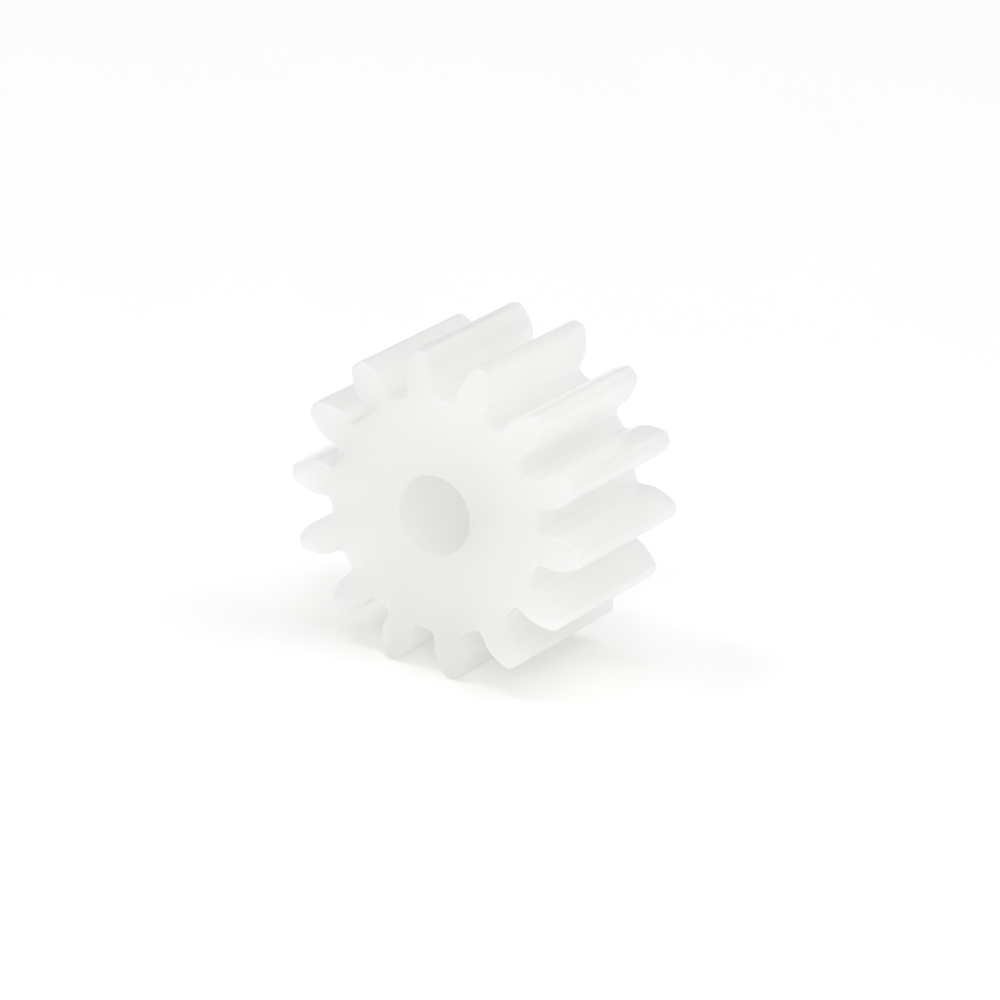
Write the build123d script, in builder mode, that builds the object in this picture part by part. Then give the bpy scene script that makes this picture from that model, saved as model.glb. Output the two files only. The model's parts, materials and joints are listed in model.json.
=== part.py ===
from build123d import *

import os
from math import acos, cos, degrees, pi, radians, sin, tan

# Plastic spur gear (motor pinion), moulded in one piece: involute teeth around a solid body with a
# plain through bore. Millimetres, +Z up. The bore's axis lies along Y and the origin is the gear's
# centre, half way along the bore. The front face looks towards -Y. One tooth points along +X, which
# puts a tooth gap straight above and straight below the bore, so the gear can stand on two teeth.

# ---- driving dimensions ----
module = 0.5
tooth_count = 14
pressure_angle = 20  # degrees
face_width = 4.5
bore_diameter = 1.95  # moulded 0.05 under size, for a tight fit on a 2 mm motor shaft

addendum = 1.00 * module
dedendum = 1.25 * module
root_fillet = 0.38 * module
tip_rounding = 0.36 * module
edge_rounding = 0.12  # around both end faces, along every tooth and gap
bore_lead_in = 0.08  # rounding of the bore's two mouths
gate_recess_diameter = 0.70  # shallow round recess where the plastic was injected, so that no stub stands proud
gate_recess_depth = 0.08

flank_points = 9  # points that the involute curve passes through
tooth_overlap = 0.3  # how far each tooth's foot reaches into the body

# ---- worked out from them ----
pitch_radius = module * tooth_count / 2
base_radius = pitch_radius * cos(radians(pressure_angle))
tip_radius = pitch_radius + addendum
root_radius = pitch_radius - dedendum
foot_radius = root_radius - tooth_overlap
front_plane = Plane.XZ.offset(face_width / 2)
back_plane = Plane.XZ.offset(-face_width / 2)
gate_offset = (bore_diameter / 2 + root_radius) / 2  # half way between the bore and the tooth roots


def involute(angle):
    """Involute function of an angle in radians."""
    return tan(angle) - angle


def half_tooth_angle(radius):
    """Half the angle that a tooth fills at this radius, in degrees, on or outside the base circle."""
    half_at_pitch = pi / (2 * tooth_count)
    local_pressure_angle = acos(min(1, base_radius / radius))
    return degrees(half_at_pitch + involute(radians(pressure_angle)) - involute(local_pressure_angle))


def polar(radius, angle):
    """A point of the sketch plane from a radius and an angle in degrees from the X axis."""
    return (radius * cos(radians(angle)), radius * sin(radians(angle)))


def flank_point(step):
    """One point on the flank of the tooth along X, from the base circle out to the tip circle."""
    radius = base_radius + (tip_radius - base_radius) * (step / (flank_points - 1)) ** 2
    return polar(radius, half_tooth_angle(radius))


# ---- one tooth, pointing along X: a radial foot, then an involute flank up to the tip circle ----
foot_angle = half_tooth_angle(base_radius)
tip_angle = half_tooth_angle(tip_radius)

with BuildSketch(Plane.XZ) as tooth:
    with BuildLine():
        Line((foot_radius, 0), polar(foot_radius, foot_angle))
        Line(polar(foot_radius, foot_angle), polar(base_radius, foot_angle))
        Spline(*[flank_point(step) for step in range(flank_points)])
        ThreePointArc(polar(tip_radius, tip_angle), polar(tip_radius, tip_angle / 2), polar(tip_radius, 0))
        mirror(about=Plane.XZ)
    make_face()

# ---- the gear ----
with BuildPart() as spur_gear:
    with BuildSketch(front_plane):
        Circle(root_radius)
        with PolarLocations(0, tooth_count):
            add(tooth.sketch_local)
    extrude(amount=-face_width)

    # The edges along the gear lie on the root, base and tip circles, in that order from the axis.
    root_edges = spur_gear.edges().filter_by(Axis.Y).group_by(SortBy.DISTANCE)[0]
    fillet(root_edges, root_fillet)
    tip_edges = spur_gear.edges().filter_by(Axis.Y).group_by(SortBy.DISTANCE)[-1]
    fillet(tip_edges, tip_rounding)

    end_faces = spur_gear.faces().filter_by(Axis.Y).filter_by(GeomType.PLANE)
    fillet(end_faces.edges(), edge_rounding)

    with Locations(front_plane):
        Hole(bore_diameter / 2)
    bore_wall = spur_gear.faces().filter_by(GeomType.CYLINDER).sort_by(SortBy.AREA)[-1]
    fillet(bore_wall.edges().filter_by(GeomType.CIRCLE), bore_lead_in)

    with BuildSketch(back_plane):
        with Locations((-gate_offset, 0)):
            Circle(gate_recess_diameter / 2)
    extrude(amount=gate_recess_depth, mode=Mode.SUBTRACT)

spur_gear.part.label = "spur_gear"

os.makedirs("parts", exist_ok=True)
export_step(spur_gear.part, "parts/spur_gear.step")

print("volume", round(spur_gear.part.volume, 2), "mm3")
print("bounding box", spur_gear.part.bounding_box())
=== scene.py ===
import json
from math import acos, asin, atan2, cos, pi, radians, sin, sqrt, tan

import bpy
from mathutils import Euler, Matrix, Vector, noise
from mathutils.geometry import delaunay_2d_cdt


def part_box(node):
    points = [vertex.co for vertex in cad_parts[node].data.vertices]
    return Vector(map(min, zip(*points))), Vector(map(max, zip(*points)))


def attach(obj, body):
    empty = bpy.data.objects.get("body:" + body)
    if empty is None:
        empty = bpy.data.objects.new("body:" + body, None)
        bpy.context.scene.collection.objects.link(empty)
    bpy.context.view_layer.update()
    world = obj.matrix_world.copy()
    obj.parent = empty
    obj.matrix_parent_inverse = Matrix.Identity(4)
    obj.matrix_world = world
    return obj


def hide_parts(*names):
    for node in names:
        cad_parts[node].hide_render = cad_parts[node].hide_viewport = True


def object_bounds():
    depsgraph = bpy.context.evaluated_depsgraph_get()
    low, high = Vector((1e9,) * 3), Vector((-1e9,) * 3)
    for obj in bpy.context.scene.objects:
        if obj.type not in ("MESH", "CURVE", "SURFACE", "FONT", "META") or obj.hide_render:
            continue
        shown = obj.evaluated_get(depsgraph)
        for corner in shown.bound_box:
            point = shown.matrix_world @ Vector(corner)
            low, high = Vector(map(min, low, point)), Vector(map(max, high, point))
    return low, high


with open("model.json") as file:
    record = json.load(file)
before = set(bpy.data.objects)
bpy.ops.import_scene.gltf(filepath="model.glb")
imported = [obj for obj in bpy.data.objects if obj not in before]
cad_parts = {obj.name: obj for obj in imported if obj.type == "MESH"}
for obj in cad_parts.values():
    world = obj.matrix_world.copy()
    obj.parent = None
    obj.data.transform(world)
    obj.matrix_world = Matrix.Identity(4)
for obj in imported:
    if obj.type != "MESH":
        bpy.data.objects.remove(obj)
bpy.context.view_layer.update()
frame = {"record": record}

# A small moulded acetal spur gear standing on a pale studio floor. Everything is in metres, in the
# frame of the CAD part: the bore runs along Y, the front face looks towards -Y, +Z is up.

MM = 0.001
AXES = (Vector((1, 0, 0)), Vector((0, 1, 0)), Vector((0, 0, 1)))

# ---- the gear's dimensions ----
node_low, node_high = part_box("spur_gear")
mounts = {mount["name"]: mount for mount in frame["record"]["mounts"]}
tip_radius = (node_high.x - node_low.x) / 2
half_width = (node_high.y - node_low.y) / 2
bore_radius = mounts["bore"]["dims"]["r_mm"] * MM
bore_lead_in = half_width - mounts["bore"]["dims"]["length_mm"] * MM / 2
mouth_radius = bore_radius + bore_lead_in

tooth_count = 14
pressure_angle = radians(20)
module = 2 * tip_radius / (tooth_count + 2)
dedendum = 1.25 * module
root_fillet = 0.38 * module
tip_rounding = 0.36 * module
edge_rounding = 0.12 * MM
pitch_radius = module * tooth_count / 2
base_radius = pitch_radius * cos(pressure_angle)
root_radius = pitch_radius - dedendum
half_pitch_angle = pi / tooth_count

# The gate is where the plastic was injected: a shallow round recess in the back face, towards -X,
# with the sheared stub of the sprue in its middle.
gate_offset = (bore_radius + root_radius) / 2
gate_middle = Vector((-gate_offset, 0))
gate_radius = 0.35 * MM
gate_depth = 0.08 * MM
gate_stub_radius = 0.13 * MM
gate_stub_height = 0.05 * MM
gate_wall_width = 0.06 * MM

# Length and depth of the waves that the plastic's uneven cooling leaves in every surface.
SHRINKAGE = ((1.7 * MM, 0.010 * MM), (0.7 * MM, 0.003 * MM))

# ---- how finely each stretch is divided ----
TIP_LAND_STEPS = 2
TIP_ARC_STEPS = 9
FLANK_STEPS = 16
FOOT_STEPS = 3
FILLET_STEPS = 9
ROOT_LAND_STEPS = 3
EDGE_STEPS = 7
LENGTH_STEPS = 30
BORE_STEPS = 180
GATE_RINGS = 14
FACE_POINT_SPACING = 0.11 * MM
HALVINGS = 60  # of the radius on the flank, to find where the tip's rounding starts
SHRINKAGE_SLOPE_STEP = 0.02 * MM
GATE_SLOPE_STEP = 0.001 * MM


# ---- tooth outline ----
def involute(angle):
    """Involute function of an angle in radians."""
    return tan(angle) - angle


def local_pressure_angle(radius):
    return acos(min(1.0, base_radius / radius))


def half_tooth_angle(radius):
    """Half the angle that a tooth fills at this radius."""
    half_at_pitch = pi / (2 * tooth_count)
    return half_at_pitch + involute(pressure_angle) - involute(local_pressure_angle(radius))


def polar(radius, angle):
    return Vector((radius * cos(angle), radius * sin(angle)))


def flank_normal(radius):
    """Direction that the flank of the tooth along X faces at this radius, away from the tooth."""
    return polar(1.0, half_tooth_angle(radius) + pi / 2 - local_pressure_angle(radius))


def tip_arc():
    """Radius on the flank where the tip's rounding starts, and the centre of that rounding."""
    low, high = base_radius, tip_radius
    for _ in range(HALVINGS):
        middle = (low + high) / 2
        centre = polar(middle, half_tooth_angle(middle)) - flank_normal(middle) * tip_rounding
        if centre.length < tip_radius - tip_rounding:
            low = middle
        else:
            high = middle
    return middle, centre


def evenly(start, end, steps):
    """Evenly spaced values from start up to but not including end."""
    return [start + (end - start) * i / steps for i in range(steps)]


def half_tooth():
    """Points and outward normals from the middle of the tooth's tip to the middle of the gap."""
    flank_top, tip_centre = tip_arc()
    land_angle = atan2(tip_centre.y, tip_centre.x)
    shoulder = flank_normal(flank_top)
    shoulder_angle = atan2(shoulder.y, shoulder.x)
    foot_angle = half_tooth_angle(base_radius)
    fillet_centre_radius = root_radius + root_fillet
    fillet_angle = foot_angle + asin(root_fillet / fillet_centre_radius)
    fillet_centre = polar(fillet_centre_radius, fillet_angle)
    foot_radius = sqrt(fillet_centre_radius ** 2 - root_fillet ** 2)

    line = []
    for angle in evenly(0, land_angle, TIP_LAND_STEPS):
        line.append((polar(tip_radius, angle), polar(1, angle)))
    for angle in evenly(land_angle, shoulder_angle, TIP_ARC_STEPS):
        line.append((tip_centre + polar(tip_rounding, angle), polar(1, angle)))
    for radius in evenly(flank_top, base_radius, FLANK_STEPS):
        line.append((polar(radius, half_tooth_angle(radius)), flank_normal(radius)))
    for radius in evenly(base_radius, foot_radius, FOOT_STEPS):
        line.append((polar(radius, foot_angle), polar(1, foot_angle + pi / 2)))
    for angle in evenly(foot_angle + pi / 2, fillet_angle, FILLET_STEPS):
        line.append((fillet_centre - polar(root_fillet, angle), polar(1, angle)))
    for angle in evenly(fillet_angle, half_pitch_angle, ROOT_LAND_STEPS):
        line.append((polar(root_radius, angle), polar(1, angle)))
    line.append((polar(root_radius, half_pitch_angle), polar(1, half_pitch_angle)))
    return line


def turned(vector, angle):
    return Vector((
        vector.x * cos(angle) - vector.y * sin(angle),
        vector.x * sin(angle) + vector.y * cos(angle)))


def gear_outline():
    """The whole outline in the X-Z plane, as points and outward normals, counter-clockwise."""
    upper = half_tooth()
    lower = [(Vector((p.x, -p.y)), Vector((n.x, -n.y))) for p, n in reversed(upper)]
    tooth = lower[:-1] + upper[:-1]
    outline = []
    for i in range(tooth_count):
        angle = 2 * half_pitch_angle * i
        outline += [(turned(p, angle), turned(n, angle)) for p, n in tooth]
    return outline


# ---- gear mesh ----
def shrinkage(point):
    """How far the moulding stands out at a point, where the plastic cooled unevenly."""
    return sum(depth * noise.noise(point / length) for length, depth in SHRINKAGE)


def uneven(point, normal):
    """A point and its normal, moved from the ideal surface to the moulded one."""
    step = SHRINKAGE_SLOPE_STEP
    here = shrinkage(point)
    slope = Vector([(shrinkage(point + axis * step) - here) / step for axis in AXES])
    slope -= normal * slope.dot(normal)
    return point + normal * here, (normal - slope).normalized()


class MeshMaker:
    """Collects points with their own normals, and faces."""

    def __init__(self):
        self.points, self.normals, self.faces = [], [], []

    def add(self, places):
        """Adds (point, normal) pairs and returns their indices."""
        first = len(self.points)
        for point, normal in places:
            point, normal = uneven(point, normal)
            self.points.append(point)
            self.normals.append(normal)
        return list(range(first, len(self.points)))

    def bridge(self, ring_a, ring_b):
        """Joins two closed rows of points with a band of faces."""
        count = len(ring_a)
        for i in range(count):
            j = (i + 1) % count
            self.faces.append((ring_a[i], ring_b[i], ring_b[j], ring_a[j]))

    def build(self, name):
        mesh = bpy.data.meshes.new(name)
        mesh.from_pydata(self.points, [], self.faces)
        mesh.validate()
        mesh.shade_smooth()
        mesh.normals_split_custom_set_from_vertices(self.normals)
        piece = bpy.data.objects.new(name, mesh)
        bpy.context.scene.collection.objects.link(piece)
        return piece


def lengthwise(rounding):
    """Rows from front face to back face, as (inset, y, tilt of the normal out of the plane)."""
    rows = []
    for i in range(EDGE_STEPS + 1):
        tilt = pi / 2 * (1 - i / EDGE_STEPS)
        rows.append((rounding * (1 - cos(tilt)), -half_width + rounding * (1 - sin(tilt)), -tilt))
    straight = half_width - rounding
    for i in range(1, LENGTH_STEPS):
        rows.append((0.0, -straight + 2 * straight * i / LENGTH_STEPS, 0.0))
    return rows + [(inset, -y, -tilt) for inset, y, tilt in reversed(rows[:EDGE_STEPS + 1])]


def wall(maker, line, rounding):
    """A wall along the bore's direction with rounded ends, from a closed line in the X-Z plane."""
    rings = []
    for inset, y, tilt in lengthwise(rounding):
        places = []
        for point, normal in line:
            flat = point - normal * inset
            facing = Vector((normal.x * cos(tilt), sin(tilt), normal.y * cos(tilt)))
            places.append((Vector((flat.x, y, flat.y)), facing))
        rings.append(maker.add(places))
    for ring_a, ring_b in zip(rings, rings[1:]):
        maker.bridge(ring_a, ring_b)
    return rings[0], rings[-1]


def smooth_step(value):
    value = min(1.0, max(0.0, value))
    return value * value * (3 - 2 * value)


def gate_height(distance):
    """Height of the back face this far from the gate's middle: a sunk disc with a stub in it."""
    rim = smooth_step((distance - gate_radius) / gate_wall_width + 1)
    stub = smooth_step((gate_stub_radius - distance) / gate_wall_width + 0.5)
    return gate_depth * (rim - 1) + gate_stub_height * stub


def face_point(place, side):
    """A point of an end face and its normal, with the gate's recess in the back one."""
    offset = place - gate_middle
    distance = offset.length
    if side < 0 or distance > gate_radius or distance == 0:
        rise = gate_height(distance) if side > 0 else 0.0
        return Vector((place.x, side * half_width + rise, place.y)), Vector((0, side, 0))
    step = GATE_SLOPE_STEP
    slope = (gate_height(distance + step) - gate_height(distance - step)) / (2 * step)
    lean = -slope * offset / distance
    return (
        Vector((place.x, half_width + gate_height(distance), place.y)),
        Vector((lean.x, 1, lean.y)).normalized())


def face_grid(side):
    """Points that fill an end face in a triangular grid, and in rings in the gate's recess."""
    margin = FACE_POINT_SPACING / 2
    clear_of_gate = gate_radius + margin if side > 0 else 0.0
    grid = []
    steps = int(root_radius / FACE_POINT_SPACING) + 1
    for row in range(-steps, steps + 1):
        for column in range(-steps, steps + 1):
            point = Vector((column + row % 2 / 2, row * sqrt(3) / 2)) * FACE_POINT_SPACING
            inside = mouth_radius + margin < point.length < root_radius - edge_rounding - margin
            if inside and (point - gate_middle).length > clear_of_gate:
                grid.append(point)
    if side > 0:
        grid.append(gate_middle)
        for ring in range(1, GATE_RINGS + 1):
            radius = gate_radius * ring / GATE_RINGS
            grid += [gate_middle + polar(radius, 2 * pi * i / (4 * ring)) for i in range(4 * ring)]
    return grid


INSIDE_OUTLINE = 1  # delaunay_2d_cdt then gives only the triangles inside the outline
WELD_DISTANCE = 1e-9
MOUTH_TOLERANCE = 0.999  # triangles nearer the axis than this lie across the bore's mouth


def end_face(maker, outer, inner, side):
    """The flat end face between the teeth's outline and the bore's mouth."""
    known = outer + inner
    corners = [Vector((maker.points[i].x, maker.points[i].z)) for i in known]
    count = len(outer)
    edges = [(i, (i + 1) % count) for i in range(count)]
    edges += [(count + i, count + (i + 1) % len(inner)) for i in range(len(inner))]
    places, _, triangles, originals, _, _ = delaunay_2d_cdt(
        corners + face_grid(side), edges, [], INSIDE_OUTLINE, WELD_DISTANCE)
    index = []
    for place, origin in zip(places, originals):
        if origin and origin[0] < len(known):
            index.append(known[origin[0]])
        else:
            index += maker.add([face_point(place, side)])
    for triangle in triangles:
        middle = sum((places[i] for i in triangle), Vector((0, 0))) / 3
        if middle.length > mouth_radius * MOUTH_TOLERANCE:
            face = [index[i] for i in triangle]
            maker.faces.append(face[::-side])


def make_gear():
    maker = MeshMaker()
    outer_front, outer_back = wall(maker, gear_outline(), edge_rounding)
    circle = [2 * pi * i / BORE_STEPS for i in range(BORE_STEPS)]
    bore_line = [(polar(bore_radius, -angle), -polar(1, -angle)) for angle in circle]
    inner_front, inner_back = wall(maker, bore_line, bore_lead_in)
    end_face(maker, outer_front, inner_front, -1)
    end_face(maker, outer_back, inner_back, 1)
    return maker.build("spur_gear_moulding")


gear = make_gear()
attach(gear, "root")
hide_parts("spur_gear")

# ---- materials ----
NOISE_RANGE = (0.3, 0.7)  # most of a noise's values lie in here


class Nodes:
    """Adds nodes to a node tree, with each input linked or set by what is passed in for it."""

    def __init__(self, tree):
        self.tree = tree

    def set(self, node, inputs):
        for name, value in inputs.items():
            socket = node.inputs[name]
            if isinstance(value, bpy.types.NodeSocket):
                self.tree.links.new(value, socket)
            else:
                socket.default_value = value

    def add(self, kind, output, inputs, **settings):
        made = self.tree.nodes.new(kind)
        for name, value in settings.items():
            setattr(made, name, value)
        self.set(made, inputs)
        return made.outputs[output]

    def noise(self, place, cells_per_mm, detail=2.0, roughness=0.5, stretch=(1, 1, 1)):
        """Noise from 0 to 1 with about this many cells in a millimetre."""
        scale = tuple(cells_per_mm / MM * factor for factor in stretch)
        scaled = self.add("ShaderNodeMapping", "Vector", {"Vector": place, "Scale": scale})
        return self.add("ShaderNodeTexNoise", "Fac", {
            "Vector": scaled, "Scale": 1.0, "Detail": detail, "Roughness": roughness})

    def remap(self, value, target, source=NOISE_RANGE, **settings):
        """Maps the source range onto the target range, and stays inside it."""
        return self.add("ShaderNodeMapRange", "Result", {
            "Value": value, "From Min": source[0], "From Max": source[1],
            "To Min": target[0], "To Max": target[1]}, **settings)

    def tint(self, factor, dark, light):
        return self.add(
            "ShaderNodeMix", "Result", {"Factor": factor, "A": dark, "B": light}, data_type="RGBA")

    def bump(self, height, depth, normal=None):
        inputs = {"Height": height, "Distance": depth, "Strength": 1.0}
        if normal is not None:
            inputs["Normal"] = normal
        return self.add("ShaderNodeBump", "Normal", inputs)


def new_material(name):
    """A material, the nodes to build it with, and its shader."""
    material = bpy.data.materials.new(name)
    material.use_nodes = True
    tree = material.node_tree
    return material, Nodes(tree), tree.nodes["Principled BSDF"]


PLASTIC_DARK = (0.962, 0.954, 0.888, 1)
PLASTIC_LIGHT = (0.976, 0.970, 0.912, 1)
LENGTHWISE = (1, 0.045, 1)  # stretches a noise along the bore, as the mould drew the surface
DRAWN_DEPTH = 0.0018 * MM
GRAIN_DEPTH = 0.0016 * MM


def acetal():
    """Natural white acetal: a satin skin over plastic that light soaks into."""
    material, nodes, shader = new_material("moulded_acetal")
    place = nodes.add("ShaderNodeTexCoord", "Object", {})
    cloud = nodes.noise(place, 0.45, detail=3.0)
    drawn = nodes.noise(place, 11.0, detail=3.0, roughness=0.6, stretch=LENGTHWISE)
    grain = nodes.noise(place, 20.0, detail=2.0, roughness=0.6)
    scuffs = nodes.noise(place, 3.0, detail=4.0, roughness=0.65)
    sheen = nodes.add("ShaderNodeMath", 0, {0: scuffs, 1: drawn}, operation="ADD")
    shader.subsurface_method = "RANDOM_WALK"
    nodes.set(shader, {
        "Base Color": nodes.tint(nodes.remap(cloud, (0, 1)), PLASTIC_DARK, PLASTIC_LIGHT),
        "Roughness": nodes.remap(sheen, (0.29, 0.42), (0.7, 1.3)),
        "Normal": nodes.bump(grain, GRAIN_DEPTH, nodes.bump(drawn, DRAWN_DEPTH)),
        "IOR": 1.48,
        "Subsurface Weight": 1.0,
        "Subsurface Radius": (1.0, 1.0, 1.0),
        "Subsurface Scale": 12 * MM,
        "Coat Weight": 0.45,
        "Coat Roughness": 0.17,
        "Coat IOR": 1.5,
    })
    return material


gear.data.materials.append(acetal())

# ---- floor ----
FLOOR_HALF = 1.5
FLOOR_GLOW = (0.155, 1.0)  # near the gear, and out where the soft boxes don't reach
GLOW_RADII = (60 * MM, 260 * MM)


def painted_glow_floor():
    """Smooth white acrylic with a painted glow, faint near the gear and full out where the soft boxes
    don't reach.
    """
    material, nodes, shader = new_material("painted_glow_floor")
    place = nodes.add("ShaderNodeTexCoord", "Object", {})
    distance = nodes.add("ShaderNodeVectorMath", "Value", {0: place}, operation="LENGTH")
    nodes.set(shader, {
        "Base Color": (0.97, 0.97, 0.97, 1),
        "Roughness": nodes.remap(nodes.noise(place, 0.2), (0.75, 0.85)),
        "Emission Color": (1, 1, 1, 1),
        # painted glow: stronger further from the gear, so the floor shows white where the lamps don't
        # reach
        "Emission Strength": nodes.remap(distance, FLOOR_GLOW, GLOW_RADII),
    })
    return material


floor_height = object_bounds()[0].z
floor_mesh = bpy.data.meshes.new("floor")
floor_mesh.from_pydata(
    [(x * FLOOR_HALF, y * FLOOR_HALF, floor_height) for x, y in ((-1, -1), (1, -1), (1, 1), (-1, 1))],
    [], [(0, 1, 2, 3)])
floor = bpy.data.objects.new("floor", floor_mesh)
floor.data.materials.append(painted_glow_floor())
bpy.context.scene.collection.objects.link(floor)

# ---- light ----
WALL_TOP = sin(radians(2.5))
WALL_FADE = sin(radians(5))


def backdrop():
    """A low white wall all round, just above the floor's far edge, in a dark room."""
    world = bpy.data.worlds.new("studio")
    world.use_nodes = True
    nodes = Nodes(world.node_tree)
    direction = nodes.add("ShaderNodeTexCoord", "Generated", {})
    height = nodes.add("ShaderNodeSeparateXYZ", "Z", {"Vector": direction})
    brightness = nodes.remap(
        height, (1.0, 0.0), (WALL_TOP, WALL_FADE), interpolation_type="SMOOTHSTEP")
    nodes.set(world.node_tree.nodes["Background"], {"Color": (1, 1, 1, 1), "Strength": brightness})
    return world


bpy.context.scene.world = backdrop()


def direction_to(azimuth, elevation):
    """Unit vector from the gear; azimuth 0 is in front of it and 90 degrees is on its +X side."""
    return Vector((
        sin(azimuth) * cos(elevation), -cos(azimuth) * cos(elevation), sin(elevation)))


SOFTBOX_DISTANCE = 0.3
SOFTBOXES = (
    # name, azimuth and elevation in degrees, side, watts
    ("overhead", 0, 88, 0.15, 0.279),
    ("front_left", -30, 35, 0.15, 0.120),
    ("front_right", 30, 35, 0.15, 0.172),
    ("high_front", 30, 60, 0.15, 0.043),
    ("high_right", 120, 60, 0.15, 0.254),
    ("high_left", -60, 60, 0.05, 0.150),
    ("back_right", 150, 35, 0.15, 0.051),
    ("back_low", 180, 10, 0.15, 0.074),
)
for name, azimuth, elevation, side, watts in SOFTBOXES:
    light = bpy.data.lights.new(name, "AREA")
    light.size = side
    light.energy = watts
    lamp = bpy.data.objects.new(name, light)
    away = direction_to(radians(azimuth), radians(elevation))
    lamp.location = away * SOFTBOX_DISTANCE
    lamp.rotation_euler = away.to_track_quat("Z", "Y").to_euler()
    bpy.context.scene.collection.objects.link(lamp)

# ---- camera ----
CAMERA_AZIMUTH = radians(29.77)
CAMERA_ELEVATION = radians(22.44)
CAMERA_ROLL = radians(5.55)
CAMERA_DISTANCE = 157.8 * MM
CAMERA_LENS = 240.9
CAMERA_CLIP = (0.01, 20)
AIM_RIGHT = 0.377 * MM
AIM_UP = -0.246 * MM
DISPLAY_GAMMA = 2.0  # flattens the tones, as in the photo

camera_data = bpy.data.cameras.new("camera")
camera_data.lens = CAMERA_LENS
camera_data.clip_start, camera_data.clip_end = CAMERA_CLIP
camera = bpy.data.objects.new("camera", camera_data)
back = direction_to(CAMERA_AZIMUTH, CAMERA_ELEVATION)
turn = back.to_track_quat("Z", "Y") @ Euler((0, 0, CAMERA_ROLL)).to_quaternion()
camera.rotation_mode = "QUATERNION"
camera.rotation_quaternion = turn
camera.location = back * CAMERA_DISTANCE + turn @ Vector((AIM_RIGHT, AIM_UP, 0))
bpy.context.scene.collection.objects.link(camera)
bpy.context.scene.camera = camera
bpy.context.scene.view_settings.view_transform = "Standard"
bpy.context.scene.view_settings.gamma = DISPLAY_GAMMA
